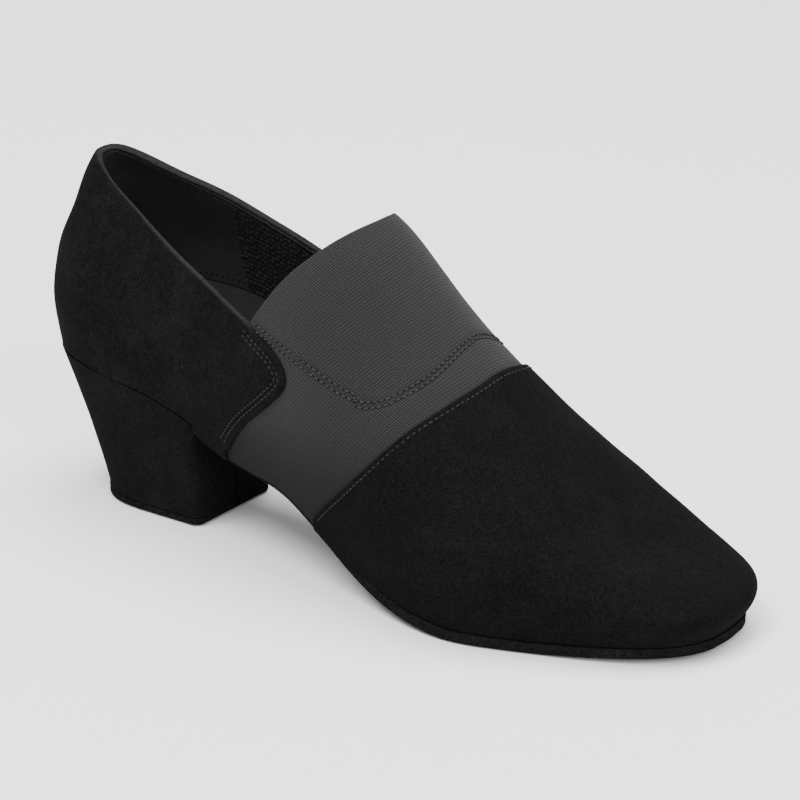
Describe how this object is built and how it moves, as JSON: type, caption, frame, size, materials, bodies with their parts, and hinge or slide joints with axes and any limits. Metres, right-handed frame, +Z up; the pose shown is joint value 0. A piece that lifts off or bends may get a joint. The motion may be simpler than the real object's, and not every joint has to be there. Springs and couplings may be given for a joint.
{
  "type": "ballroom dance shoe",
  "caption": "Suede ballroom practice shoe with a covered block heel, a slip-on collar and an elastic gore across the instep, standing empty on its sole.",
  "frame": {"origin": "centre of the heel tip's bottom face, on the floor", "axes": "+X runs from heel to toe, +Y to the wearer's left, the inner side of this right shoe, and +Z up"},
  "size_m": [0.246, 0.0882, 0.1111],
  "materials": {
    "suede": "brushed black suede, matt",
    "elastic": "charcoal ribbed woven elastic",
    "lining": "black lining, matt",
    "sole_suede": "napped black chrome suede sole"
  },
  "bodies": {
    "root": {"upper": "elastic", "vamp": "suede", "quarter": "suede", "insole": "lining", "outsole": "sole_suede", "heel": "suede", "heel_tip": "sole_suede"}
  },
  "joints": []
}
